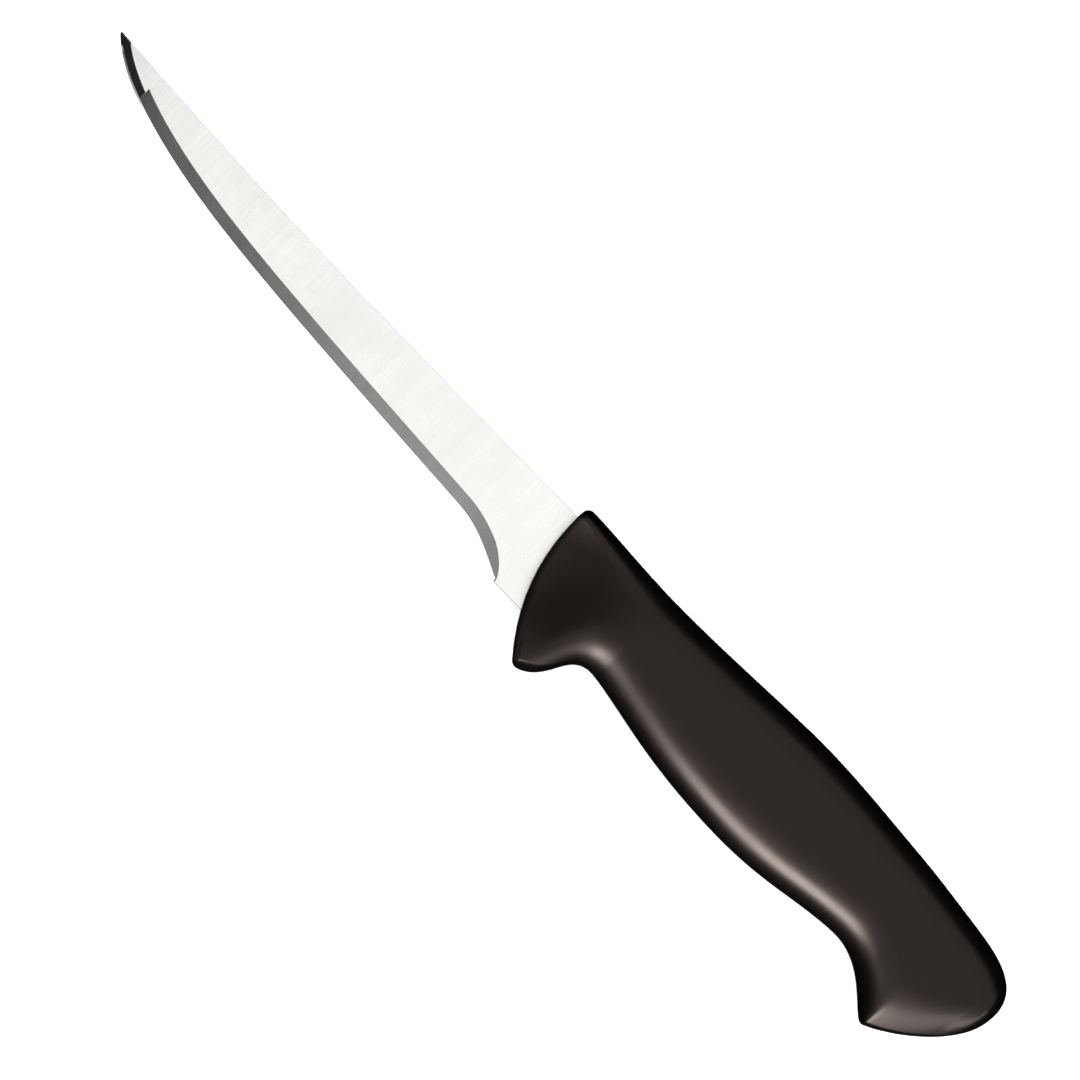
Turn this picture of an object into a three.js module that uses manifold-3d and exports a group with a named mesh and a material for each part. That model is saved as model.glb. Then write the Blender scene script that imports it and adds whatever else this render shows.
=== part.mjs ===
// Boning knife: a stamped and ground steel blank moulded into a one-piece plastic handle.
// The blade has an upswept point, a plain ground edge, and a hidden tang with lock holes.
// The handle has a finger guard, a flat-sided grip and a hooked pommel.
//
// Knife frame for modelling, in millimetres:
//   x runs towards the tip, from the front of the handle
//   y runs towards the cutting edge, from the line of the handle's back
//   z runs across the knife, from the middle of the blade
// The finished knife lies on one side of its grip, which is how a knife is put down.

import * as THREE from "three";
import { mergeVertices } from "three/addons/utils/BufferGeometryUtils.js";
import Module from "manifold-3d";

// Blade
const bladeLength = 131; // front of the handle to the tip
const stockThickness = 1.8; // flat sheet that the blank is stamped from
const spineSetDown = 2.0; // line of the back to the straight stretch of the spine
const spineSweepLength = 80; // stretch of the spine that curves up to the tip
const tipRise = 2.35; // tip above the straight stretch of the spine
const heelDepth = 20.8; // spine to the heel, where the edge ends
const waistDepth = 15.5; // spine to the edge in front of the heel's flare
const sweepDepth = 10.6; // spine line to the edge where it starts to sweep up
const heelForward = 2.1; // heel in front of the handle
const flareLength = 16; // stretch of the edge that flares out to the heel
const edgeSweepLength = 38; // stretch of the edge that sweeps up to the tip
const heelEdgeAngle = 25; // edge to spine line, in degrees
const waistEdgeAngle = 2.9;
const sweepEdgeAngle = 7.2;
const tipEdgeAngle = 45.5;
const spineEase = 0.15; // broken corner along the spine
const tipLand = 0.5; // blunt height left between spine and edge at the tip

// Ground edge
const bevelWidth = 3.0; // ground band along the edge
const tipBevelWidth = 1.75; // the band is narrower and steeper round the point
const tipBevelLength = 11.9; // stretch of the narrower band
const bevelStepLength = 0.3; // step where the band narrows
const honedWidth = 0.45; // narrow band at the very edge, left by honing
const honedThickness = 0.6; // steel behind the honed band
const edgeThickness = 0.06; // steel left at the edge itself
const plungeLength = 6.5; // stretch at the heel where the ground band runs out along an arc
const plungeWall = 0.12; // wall round that arc, as a share of the band's width there

// Tang
const seatLength = 11; // full-depth blade buried in the front of the handle
const shoulderLength = 3; // sloping step from the blade's depth to the tang's
const tangSetDown = 3.6; // spine to the top of the tang
const tangDepth = 11.5;
const tangEndCover = 36; // butt of the handle to the end of the tang
const tangCornerRadius = 3;
const lockHoleCount = 3; // moulded plastic passes through these
const lockHoleDiameter = 5.2;

// Handle in side view: depths are from the line of the back, setbacks from the front
const handleLength = 127.7;
const cornerSetback = 1.3; // top corner of the front face behind the bulge
const frontRise = 0.8; // back above its own line at the front
const frontLean = 11.7; // tip of the guard behind the front face's top corner
const frontBow = 3.1; // bulge of the front face
const frontEdgeRadius = 1.7;
const guardDepth = 31.3;
const choilDepth = 21.6;
const choilSetback = 25.1;
const bellyDepth = 26.2;
const bellySetback = 62.3;
const backCrest = 1.4; // rise of the back over the palm
const hookDepth = 23;
const hookFromButt = 33.9;
const beakDepth = 31.6;
const beakFromButt = 16.9;
const rumpDepth = 2.0; // back above the pommel's beak
const rumpFromButt = 15.2;
const buttDepth = 11.8; // rearmost point of the butt

// Handle across: widths, and depths of the roundings along the back and the underside
const gripWidth = 20;
const frontWidth = 11.8; // in the middle of the dish that hollows both sides of the front
const dishDepth = 13; // middle of the dish
const dishReach = 16; // middle of the dish to where most of it has faded
const bolsterSetback = 21; // foot of the slanted line where the handle starts to narrow forwards
const bolsterSlant = 9; // top of that line behind its foot
const buttRoundLength = 5; // stretch at the butt where the width closes
const frontEdgeInset = 0.5; // narrowing of each side round the edge of the front face
const frontBackRadius = 2.4;
const gripBackRadius = 7.5;
const rumpBackRadius = 6.5;
const buttBackRadius = 5.5;
const guardEdgeRadius = 6;
const choilEdgeRadius = 12;
const bellyEdgeRadius = 11;
const hookEdgeRadius = 9.5;
const beakEdgeRadius = 10;
const buttEdgeRadius = 8;
const sectionPower = 2.3; // 2 would make the roundings ellipses, and more makes them fuller

// Flanks: under the guard and the beak the side falls to a rim instead of rounding to the parting line
const guardRimShare = 0.7; // width at the rim, as a share of the width above the flank
const beakRimShare = 0.6;
const flankPower = 1.7; // 1 would make the flanks flat, and more makes them rounder
const guardFlankFade = 0.45; // share of the way from guard to choil where the flank starts to fade
const beakFlankFade = 0.85; // share of the way from hook to beak where the flank starts to show

// Moulding
const mouldGap = 0.3; // clearance between the tang and the plastic around it

// Smoothness of the faceted surfaces
const edgeSteps = [12, 14, 14, 1, 8]; // along flare, long run, upsweep, step in the band, and point
const handleSteps = [18, 14, 10, 13, 16]; // between the handle's pairs of knots
const roundSteps = 8; // round the back or the underside
const flatSteps = 3; // across the flat side
const filletSteps = 4;
const holeSegments = 32;

const wasm = await Module();
wasm.setup();

const at = (x, y) => new THREE.Vector2(x, y);
const radians = THREE.MathUtils.degToRad;
const lerp = THREE.MathUtils.lerp;
const clamp01 = (t) => THREE.MathUtils.clamp(t, 0, 1);
const ease = (t) => THREE.MathUtils.smoothstep(t, 0, 1);

// Solids and meshes

// A skin over rings of points that run from tip to butt, closed with strips at both ends.
// Point i of a ring and point i from its end mirror each other across the knife.
function loft(rings) {
  const n = rings[0].length;
  const faces = [];
  for (let k = 0; k + 1 < rings.length; k++) {
    for (let i = 0; i < n; i++) {
      const a = k * n + i;
      const b = k * n + ((i + 1) % n);
      faces.push(a, b, a + n, b, b + n, a + n);
    }
  }
  const last = (rings.length - 1) * n;
  for (let i = 0; i + 1 < n / 2; i++) {
    const [a, b, c, d] = [i, n - 1 - i, n - 2 - i, i + 1];
    faces.push(a, b, c, a, c, d);
    faces.push(last + a, last + c, last + b, last + a, last + d, last + c);
  }
  return new THREE.BufferGeometry().setFromPoints(rings.flat()).setIndex(faces);
}

// A ring from its near half, which runs from the back down to the underside.
function mirrored(near) {
  const far = near.map((p) => new THREE.Vector3(p.x, p.y, -p.z));
  return [...near, ...far.reverse()];
}

function toSolid(geometry) {
  const bare = geometry.clone();
  bare.deleteAttribute("normal");
  bare.deleteAttribute("uv");
  const merged = mergeVertices(bare);
  const vertProperties = new Float32Array(merged.attributes.position.array);
  const triVerts = new Uint32Array(merged.index.array);
  return new wasm.Manifold(new wasm.Mesh({ numProp: 3, vertProperties, triVerts }));
}

function toGeometry(solid) {
  const mesh = solid.getMesh();
  const geometry = new THREE.BufferGeometry();
  geometry.setAttribute("position", new THREE.BufferAttribute(mesh.vertProperties, 3));
  geometry.setIndex(new THREE.BufferAttribute(mesh.triVerts, 1));
  geometry.computeVertexNormals();
  return geometry;
}

// Blade

const stockHalf = stockThickness / 2;
const heel = at(heelForward, spineSetDown + heelDepth);
const waist = at(heelForward + flareLength, spineSetDown + waistDepth);
const sweepStart = at(bladeLength - edgeSweepLength, spineSetDown + sweepDepth);
const tip = at(bladeLength, spineSetDown - tipRise + tipLand);
const tipBevelX = bladeLength - tipBevelLength;
const bevelStepX = tipBevelX - bevelStepLength;

// Depth of the spine at x: straight, then an even curve up to the tip.
function spineAt(x) {
  const swept = Math.max(0, x - (bladeLength - spineSweepLength)) / spineSweepLength;
  return spineSetDown - tipRise * swept ** 2;
}

// The cutting edge from heel to tip: the hollow flare, the long run and the upsweep.
// Each curve leaves and arrives at the edge's angle there, with a reach given as a share of its length.
function edgeCurves() {
  const knot = (point, angle) => ({ point, slope: -Math.tan(radians(angle)) });
  const knots = [
    knot(heel, heelEdgeAngle),
    knot(waist, waistEdgeAngle),
    knot(sweepStart, sweepEdgeAngle),
    knot(tip, tipEdgeAngle),
  ];
  const reaches = [[0.42, 0.36], [0.33, 0.25], [0.42, 0.17]];
  return reaches.map(([leave, arrive], k) => {
    const [from, to] = [knots[k], knots[k + 1]];
    const span = to.point.x - from.point.x;
    const along = ({ point, slope }, dx) => at(point.x + dx, point.y + dx * slope);
    const [start, end] = [along(from, leave * span), along(to, -arrive * span)];
    return new THREE.CubicBezierCurve(from.point, start, end, to.point);
  });
}

// A ring across the blank at x, from depths and half thicknesses down one side of it:
// broken corner of the spine, flat cheek, then what lies along the lower edge.
const bladeRing = (x, side) => mirrored(side.map(([y, z]) => new THREE.Vector3(x, y, z)));

// Unsharpened blank, as in the seat and the tang, with its lower corners broken too.
function bluntRing(x, top, bottom, half) {
  return bladeRing(x, [
    [top, half - spineEase],
    [top + spineEase, half],
    [bottom - spineEase, half],
    [bottom - 0.6 * spineEase, half - 0.1 * spineEase],
    [bottom - 0.25 * spineEase, half - 0.4 * spineEase],
    [bottom, half - spineEase],
  ]);
}

// Sharpened blade at a point of the edge: cheek, wall of the plunge, ground bevel, honed band.
// The bevel keeps its slope into the plunge, where only its width runs out, so the wall grows there.
function sharpRing(point, slope) {
  const [top, bottom] = [spineAt(point.x), point.y];
  const plunge = clamp01((point.x - heel.x) / plungeLength);
  const share = Math.sqrt(1 - (1 - plunge) ** 2); // a round wheel runs out along an arc
  const acrossY = Math.hypot(1, slope); // a sloping edge has a taller bevel along y
  const fullWidth = lerp(bevelWidth, tipBevelWidth, clamp01((point.x - bevelStepX) / bevelStepLength));
  const width = fullWidth * share;
  const honed = Math.min(honedWidth, width / 2);
  const room = bottom - top - 2 * spineEase;
  const fit = Math.min(1, room / (width * acrossY)); // near the tip the bevel meets the spine
  const depthAt = (distance) => bottom - distance * acrossY * fit;
  const honedHalf = honedThickness / 2;
  const cheekHalf = lerp(honedHalf, stockHalf, fit);
  const bevelHalf = lerp(honedHalf, cheekHalf, (width - honed) / (fullWidth - honed));
  return bladeRing(point.x, [
    [top, cheekHalf - Math.min(spineEase, cheekHalf / 2)],
    [top + spineEase, cheekHalf],
    [depthAt(width), cheekHalf],
    [depthAt(lerp(width, honed, plungeWall)), lerp(bevelHalf, honedHalf, plungeWall)],
    [depthAt(honed), honedHalf],
    [bottom, edgeThickness / 2],
  ]);
}

// Share of the way along a curve at which it reaches x, by halving: every edge curve runs forwards.
function shareAt(curve, x) {
  let [low, high] = [0, 1];
  for (let i = 0; i < 40; i++) {
    const middle = (low + high) / 2;
    if (curve.getPoint(middle).x < x) low = middle;
    else high = middle;
  }
  return low;
}

function sharpRings() {
  const [flare, longRun, upsweep] = edgeCurves();
  const [stepStart, stepEnd] = [shareAt(upsweep, bevelStepX), shareAt(upsweep, tipBevelX)];
  const runs = [[flare, 0, 1], [longRun, 0, 1], [upsweep, 0, stepStart], [upsweep, stepStart, stepEnd],
    [upsweep, stepEnd, 1]];
  const rings = [];
  runs.forEach(([curve, from, to], k) => {
    for (let i = 1; i <= edgeSteps[k]; i++) {
      const step = i / edgeSteps[k];
      const t = lerp(from, to, k === 0 ? step ** 2 : step); // closer together towards the heel
      const tangent = curve.getTangent(t);
      rings.push(sharpRing(curve.getPoint(t), tangent.y / tangent.x));
    }
  });
  return rings.reverse();
}

const buttX = -handleLength;
const tangMiddle = spineSetDown + tangSetDown + tangDepth / 2;
const tangRootX = -seatLength - shoulderLength;
const tangEndX = buttX + tangEndCover;

// Seat, shoulder and tang from front to back, grown on every face by a clearance.
function tangRings(frontX, grow) {
  const half = stockHalf + grow;
  const reach = tangDepth / 2 + grow;
  const seatRing = (x) => bluntRing(x, spineSetDown - grow, heel.y + grow, half);
  const tangRing = (x, r) => bluntRing(x, tangMiddle - r, tangMiddle + r, half);
  const rings = [seatRing(frontX), seatRing(-seatLength - grow), tangRing(tangRootX - grow, reach)];
  for (let i = 0; i <= filletSteps; i++) {
    const turn = (i / filletSteps) * (Math.PI / 2);
    const x = tangEndX - grow + tangCornerRadius * (1 - Math.sin(turn));
    rings.push(tangRing(x, reach - tangCornerRadius * (1 - Math.cos(turn))));
  }
  return rings;
}

// Round pegs across the knife at the lock holes, spread evenly along the tang.
function lockPegs(radius) {
  const pitch = (tangRootX - tangEndX) / lockHoleCount;
  return Array.from({ length: lockHoleCount }, (_, i) => {
    const peg = new THREE.CylinderGeometry(radius, radius, gripWidth, holeSegments);
    peg.rotateX(Math.PI / 2);
    peg.translate(tangRootX - pitch * (i + 0.5), tangMiddle, 0);
    return toSolid(peg);
  });
}

function makeBlade() {
  const blank = toSolid(loft([...sharpRings(), ...tangRings(heel.x, 0)]));
  const pegs = lockPegs(lockHoleDiameter / 2);
  return toGeometry(pegs.reduce((left, peg) => left.subtract(peg), blank));
}

// Handle

const gripHalf = gripWidth / 2;
const corner = at(-cornerSetback, -frontRise);
const guard = at(corner.x - frontLean, guardDepth);
const faceLength = corner.distanceTo(guard);
const faceDip = -THREE.MathUtils.radToDeg(Math.atan2(frontLean, guard.y - corner.y)); // square to the face
const hookX = buttX + hookFromButt;
const butt = at(buttX, buttDepth);

// A guide line through knots, heading for the butt. A knot has its point, the angle at which the line
// dips there, and the reach of its curves before and after, as shares of the distance between knots.
function guideLine(knots) {
  const heading = ({ dip = 0 }) => at(-Math.cos(radians(dip)), Math.sin(radians(dip)));
  return knots.slice(1).map((next, k) => {
    const knot = knots[k];
    const span = knot.point.distanceTo(next.point);
    const start = knot.point.clone().addScaledVector(heading(knot), span * (knot.after ?? 0.35));
    const end = next.point.clone().addScaledVector(heading(next), -span * (next.before ?? 0.35));
    return new THREE.CubicBezierCurve(knot.point, start, end, next.point);
  });
}

// Back of the handle: front corner, above the choil, palm, hook and beak, and the butt.
const backLine = guideLine([
  { point: corner, dip: faceDip, after: 0.05 },
  { point: at(-choilSetback, 0) },
  { point: at(-bellySetback, -backCrest), dip: -2 },
  { point: at(hookX, 0), dip: 4 },
  { point: at(buttX + rumpFromButt, rumpDepth), dip: 7, after: 0.43 },
  { point: butt, dip: 90, before: 0.42 },
]);

// Underside of the handle, knot by knot below the back: guard, choil, belly, hook, beak, butt.
const underLine = guideLine([
  { point: guard, dip: faceDip, after: 0.44 },
  { point: at(-choilSetback, choilDepth), dip: 7, before: 0.51, after: 0.25 },
  { point: at(-bellySetback, bellyDepth), dip: 1, before: 0.51, after: 0.47 },
  { point: at(hookX, hookDepth), dip: -3, before: 0.31, after: 0.5 },
  { point: at(buttX + beakFromButt, beakDepth), dip: -19, before: 0.12, after: 0.12 },
  { point: butt, dip: -90, before: 0.39 },
]);

// Depth of the roundings at each pair of knots.
const backRadii = [frontBackRadius, gripBackRadius, gripBackRadius, gripBackRadius, rumpBackRadius,
  buttBackRadius];
const underRadii = [guardEdgeRadius, choilEdgeRadius, bellyEdgeRadius, hookEdgeRadius, beakEdgeRadius,
  buttEdgeRadius];

// Share of the full width left at a share of the way across a rounding, from 0 at its start to 1.
const fullness = (across) => (1 - across ** sectionPower) ** (1 / sectionPower);

// Half width at a point of the side: even along the grip, dished towards the front, closed at the butt.
function halfWidthAt(x, y) {
  const gripStart = -bolsterSetback - bolsterSlant * (1 - y / choilDepth);
  const narrowing = clamp01(1 - x / gripStart);
  const dish = Math.exp(-(((y - dishDepth) / dishReach) ** 2)); // a bell curve down the side
  const closing = clamp01((buttX + buttRoundLength - x) / buttRoundLength);
  return lerp(gripHalf, frontWidth / 2, ease(narrowing) * dish) * fullness(closing);
}

// Distances down a section: close together in the two roundings, even across the flat side.
function sectionDistances(length, backRadius, underRadius) {
  const turns = Array.from({ length: roundSteps }, (_, i) => ((i + 0.5) / roundSteps) * (Math.PI / 2));
  const back = turns.map((turn) => backRadius * (1 - Math.cos(turn)));
  const under = turns.map((turn) => length - underRadius * (1 - Math.cos(turn)));
  const flat = length - backRadius - underRadius;
  const side = Array.from({ length: flatSteps + 1 }, (_, i) => backRadius + (flat * i) / flatSteps);
  return [...back, ...side, ...under.reverse()];
}

// A ring across the handle between a point of the back and a point of the underside.
// Its form has the depths of both roundings, the forward bulge, the flank's weight and the rim's share.
// At the edge of the front face, inset draws the ring in on all sides and lead moves it forwards.
function handleRing(top, bottom, form, inset = 0, lead = 0) {
  const down = bottom.clone().sub(top).normalize();
  const forward = at(down.y, -down.x);
  const start = top.clone().addScaledVector(down, inset).addScaledVector(forward, lead);
  const length = top.distanceTo(bottom) - 2 * inset;
  const radii = form.radii.map((radius) => radius - inset);
  const shrink = Math.min(1, (0.998 * length) / (radii[0] + radii[1])); // short sections at the butt
  const [backRadius, underRadius] = radii.map((radius) => radius * shrink);
  const near = sectionDistances(length, backRadius, underRadius).map((d) => {
    const bulge = form.bow * 4 * (d / length) * (1 - d / length);
    const point = start.clone().addScaledVector(down, d).addScaledVector(forward, bulge);
    const byBack = fullness(clamp01(1 - d / backRadius));
    const under = clamp01(1 - (length - d) / underRadius);
    const byFlank = 1 - (1 - form.rimShare) * under ** flankPower;
    const byUnder = lerp(fullness(under), byFlank, form.flank);
    const side = halfWidthAt(point.x, point.y) - (inset * frontEdgeInset) / frontEdgeRadius;
    return new THREE.Vector3(point.x, point.y, side * byBack * byUnder);
  });
  return mirrored(near);
}

// Weight of the flank from each pair of knots to the next: guard to choil, grip, hook to beak, butt.
const flankFades = [
  (t) => 1 - THREE.MathUtils.smoothstep(t, guardFlankFade, 1),
  () => 0,
  () => 0,
  (t) => THREE.MathUtils.smoothstep(t, beakFlankFade, 1),
  () => 1,
];

// Form of the ring at a share of the way from one pair of knots to the next.
function formAt(k, t) {
  return {
    radii: [backRadii, underRadii].map((list) => lerp(list[k], list[k + 1], ease(t))),
    bow: k === 0 ? frontBow * (1 - t) ** 2 : 0, // the front's bulge fades out at the choil
    flank: flankFades[k](t),
    rimShare: k === 0 ? guardRimShare : beakRimShare,
  };
}

// The rounded edge of the front face, from the face back to the start of the guide lines.
// It turns as far as the slope at which the bulge of the face starts.
function frontRings() {
  const wholeTurn = Math.PI / 2 - Math.atan((4 * frontBow) / faceLength);
  return Array.from({ length: filletSteps }, (_, i) => {
    const turn = (1 - i / filletSteps) * wholeTurn;
    const inset = frontEdgeRadius * (1 - Math.cos(turn));
    return handleRing(corner, guard, formAt(0, 0), inset, frontEdgeRadius * Math.sin(turn));
  });
}

function bodyRings() {
  const rings = [];
  handleSteps.forEach((count, k) => {
    const atButt = k === handleSteps.length - 1;
    for (let i = 0; i < count; i++) {
      const t = atButt ? Math.sin((i / count) * (Math.PI / 2)) : i / count;
      rings.push(handleRing(backLine[k].getPoint(t), underLine[k].getPoint(t), formAt(k, t)));
    }
  });
  return rings;
}

// The plastic fills the lock holes as plugs and leaves the rest of the tang its cavity.
function makeHandle() {
  const body = toSolid(loft([...frontRings(), ...bodyRings()]));
  const slot = toSolid(loft(tangRings(bladeLength, mouldGap)));
  const plugs = lockPegs(lockHoleDiameter / 2 - mouldGap);
  const cavity = plugs.reduce((left, plug) => left.subtract(plug), slot);
  return toGeometry(body.subtract(cavity));
}

// Assembly

const steel = new THREE.MeshStandardMaterial({ color: 0xd9d8d6, roughness: 0.28, metalness: 1 });
const plastic = new THREE.MeshStandardMaterial({ color: 0x1d1917, roughness: 0.5, metalness: 0 });

function namedMesh(name, geometry, material) {
  const mesh = new THREE.Mesh(geometry, material);
  mesh.name = name;
  return mesh;
}

const assembly = new THREE.Group();
assembly.add(namedMesh("blade", makeBlade(), steel));
assembly.add(namedMesh("handle", makeHandle(), plastic));

// Lay the knife on its side, with its box centred on the origin.
const box = new THREE.Box3().setFromObject(assembly);
const centre = box.getCenter(new THREE.Vector3());
assembly.position.set(-centre.x, -centre.y, -box.min.z);

const knife = new THREE.Group();
knife.add(assembly);

export default knife;
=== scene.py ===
import math

import bmesh
import bpy
import numpy as np
from mathutils import Matrix, Vector


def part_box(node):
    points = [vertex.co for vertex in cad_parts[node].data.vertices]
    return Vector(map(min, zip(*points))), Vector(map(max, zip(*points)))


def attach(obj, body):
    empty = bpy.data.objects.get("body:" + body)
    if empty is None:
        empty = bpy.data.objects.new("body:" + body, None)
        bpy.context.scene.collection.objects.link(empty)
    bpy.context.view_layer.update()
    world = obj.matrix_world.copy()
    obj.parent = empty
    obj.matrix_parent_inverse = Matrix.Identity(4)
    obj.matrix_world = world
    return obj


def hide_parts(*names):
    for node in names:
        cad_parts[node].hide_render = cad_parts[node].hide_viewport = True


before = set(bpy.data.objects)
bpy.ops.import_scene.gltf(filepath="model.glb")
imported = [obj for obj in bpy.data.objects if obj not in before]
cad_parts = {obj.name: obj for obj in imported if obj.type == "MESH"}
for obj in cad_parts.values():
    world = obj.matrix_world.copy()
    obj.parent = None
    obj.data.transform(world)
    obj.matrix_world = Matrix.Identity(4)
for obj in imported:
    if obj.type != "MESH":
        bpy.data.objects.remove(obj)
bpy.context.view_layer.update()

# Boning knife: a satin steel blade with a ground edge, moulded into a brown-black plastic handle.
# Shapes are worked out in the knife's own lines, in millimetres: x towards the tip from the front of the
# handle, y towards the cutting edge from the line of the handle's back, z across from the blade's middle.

mm = 0.001


# Arrays and meshes

# A share kept between 0 and 1.
def clamp01(t):
    return np.clip(t, 0.0, 1.0)


# The way from a to b by a share t: a plus t times their difference.
def mix(a, b, t):
    return a + (b - a) * t


# An eased share: 3t^2 less 2t^3.
def smooth(t):
    return t * t * (3 - 2 * t)


# An eased share of the way from start to end.
def ramp(t, start, end):
    return smooth(clamp01((t - start) / (end - start)))


# A cubic curve and its tangent: the four points weighted by (1-t)^3, 3t(1-t)^2, 3t^2(1-t) and t^3.
def cubic(points, t):
    p0, p1, p2, p3 = (np.asarray(p, float) for p in points)
    t = np.asarray(t, float)[:, None]
    s = 1 - t
    place = s**3 * p0 + 3 * s**2 * t * p1 + 3 * s * t**2 * p2 + t**3 * p3
    heading = 3 * (s**2 * (p1 - p0) + 2 * s * t * (p2 - p1) + t**2 * (p3 - p2))
    return place, heading


# A closed skin over rings of points: quads join each ring to the next, and strips between mirrored points
# close both ends. Rings run from tip to butt, and go from the back down one side and up the other.
def skinFaces(rings, around):
    k = np.arange(rings - 1)[:, None] * around
    i = np.arange(around)[None, :]
    nextI = (i + 1) % around
    sides = np.stack([k + i, k + nextI, k + around + nextI, k + around + i], -1).reshape(-1, 4)
    i = np.arange(around // 2 - 1)
    front = np.stack([i, around - 1 - i, around - 2 - i, i + 1], -1)
    back = front[:, ::-1] + (rings - 1) * around
    return np.concatenate([sides, front, back]).tolist()


# A mesh object from points in the knife's lines, put in its place in the frame, in metres.
def meshPiece(name, points, faces):
    mesh = bpy.data.meshes.new(name)
    placed = np.asarray(points).reshape(-1, 3) * mm + knifeOrigin
    mesh.from_pydata(placed.tolist(), [], faces)
    mesh.polygons.foreach_set("use_smooth", np.ones(len(mesh.polygons), bool))
    mesh.update()
    piece = bpy.data.objects.new(name, mesh)
    bpy.context.scene.collection.objects.link(piece)
    return piece


# Near half of every ring, mirrored across the knife to a whole one.
def mirrored(near):
    far = near[:, ::-1] * np.array([1.0, 1.0, -1.0])
    return np.concatenate([near, far], axis=1)


# The piece less the tools' solids, as one settled mesh.
def cutAway(piece, *tools):
    for tool in tools:
        cut = piece.modifiers.new("cut", "BOOLEAN")
        cut.operation = "DIFFERENCE"
        cut.solver = "EXACT"
        cut.object = tool
    settled = bpy.data.meshes.new_from_object(piece.evaluated_get(bpy.context.evaluated_depsgraph_get()))
    piece.modifiers.clear()
    old = piece.data
    name = old.name
    piece.data = settled
    bpy.data.meshes.remove(old)
    settled.name = name
    for tool in tools:
        mesh = tool.data
        bpy.data.objects.remove(tool)
        bpy.data.meshes.remove(mesh)


# Points that meet on the parting line become one.
def weldSeam(piece, distance=1e-7):
    work = bmesh.new()
    work.from_mesh(piece.data)
    bmesh.ops.remove_doubles(work, verts=work.verts, dist=distance)
    bmesh.ops.dissolve_degenerate(work, dist=distance, edges=work.edges)
    work.to_mesh(piece.data)
    work.free()


# Blade

bladeShape = {
    "length": 131.0,  # front of the handle to the tip
    "spineSetDown": 2.0,  # line of the back to the straight stretch of the spine
    "spineSweep": 80.0,  # stretch of the spine that curves up to the tip
    "tipRise": 2.35,
    "tipLand": 0.5,  # blunt height between spine and edge at the tip
    "heelDepth": 20.8,  # depths are from the straight stretch of the spine
    "waistDepth": 15.5,
    "sweepDepth": 10.6,
    "heelForward": 2.1,
    "flare": 16.0,  # stretch of the edge that flares out to the heel
    "edgeSweep": 38.0,  # stretch of the edge that sweeps up to the tip
    "edgeAngles": (25.0, 2.9, 7.2, 45.5),  # at heel, waist, sweep and tip, in degrees
    "edgeReaches": ((0.42, 0.36), (0.33, 0.25), (0.42, 0.17)),  # shares of each curve's span
    "ease": 0.15,  # rounded corner along the spine
    "bevel": 3.0,  # ground band along the edge
    "tipBevel": 2.05,  # the band is narrower and steeper round the point
    "tipBevelLength": 11.9,
    "bevelStep": 0.005,  # the step where the band narrows
    "honed": 0.45,
    "honedThickness": 0.6,
    "edgeThickness": 0.06,
    "plunge": 6.5,  # stretch at the heel where the band runs out along an arc
    "plungeWall": 0.03,  # wall round that arc, as a share of the band's width there
    "seat": 11.0,  # full-depth blade buried in the handle
    "shoulder": 3.0,
    "tangSetDown": 3.6,
    "tangDepth": 11.5,
    "tangEndCover": 36.0,
    "tangCorner": 3.0,
    "lockHoles": 3,
    "lockHoleRadius": 2.6,
    "sharpAngle": 7.0,  # faces that meet at more than this keep a crisp line, in degrees
    "edgeSteps": (70, 110, 120),
    "searchSteps": 4000,  # points at which a curve is looked up by x
    "pointSteps": 50,
    "roundSteps": 9,
    "cheekSteps": 8,
    "bevelSteps": 5,
    "honedSteps": 2,
    "pegSides": 48,
}

# Where the knife's own lines lie in the frame: the tip is the blade's far end in x, the top of the swept
# spine is its lowest y, and the blade's middle is halfway up it.
bladeLow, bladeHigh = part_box("blade")
handleLow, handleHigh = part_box("handle")
stockHalf = (bladeHigh.z - bladeLow.z) / 2 / mm
gripHalf = (handleHigh.z - handleLow.z) / 2 / mm
knifeOrigin = np.array([
    bladeHigh.x - bladeShape["length"] * mm,
    bladeLow.y - (bladeShape["spineSetDown"] - bladeShape["tipRise"]) * mm,
    (bladeLow.z + bladeHigh.z) / 2,
])


# Spine depth at x: straight, then rising with the square of the way along the sweep.
def spineAt(x):
    b = bladeShape
    swept = np.maximum(0.0, x - (b["length"] - b["spineSweep"])) / b["spineSweep"]
    return b["spineSetDown"] - b["tipRise"] * swept**2


# Points and slopes of the cutting edge from heel to tip: three cubic curves, each leaving and arriving at
# its knot's angle. Stations crowd towards the heel, where the ground band starts as an arc, and the last
# curve has stations at both ends of the step where the band narrows.
def edgeLine():
    b = bladeShape
    top = b["spineSetDown"]
    knots = np.array([
        [b["heelForward"], top + b["heelDepth"]],
        [b["heelForward"] + b["flare"], top + b["waistDepth"]],
        [b["length"] - b["edgeSweep"], top + b["sweepDepth"]],
        [b["length"], top - b["tipRise"] + b["tipLand"]],
    ])
    headings = np.stack([np.ones(4), -np.tan(np.radians(b["edgeAngles"]))], -1)
    places, slopes = [], []
    for k, (leave, arrive) in enumerate(b["edgeReaches"]):
        span = knots[k + 1, 0] - knots[k, 0]
        points = [knots[k], knots[k] + headings[k] * leave * span,
                  knots[k + 1] - headings[k + 1] * arrive * span, knots[k + 1]]
        t = np.arange(1, b["edgeSteps"][k] + 1) / b["edgeSteps"][k]
        if k == 0:
            t = t**2
        if k == 2:
            fine = np.linspace(0, 1, b["searchSteps"])
            narrowX = b["length"] - b["tipBevelLength"]
            stepX = np.array([narrowX - b["bevelStep"], narrowX])
            stepStart, stepEnd = np.interp(stepX, cubic(points, fine)[0][:, 0], fine)
            t = np.concatenate([t * stepStart, np.linspace(stepEnd, 1, b["pointSteps"])])
        place, heading = cubic(points, t)
        places.append(place)
        slopes.append(heading[:, 1] / heading[:, 0])
    return np.concatenate(places), np.concatenate(slopes)


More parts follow.
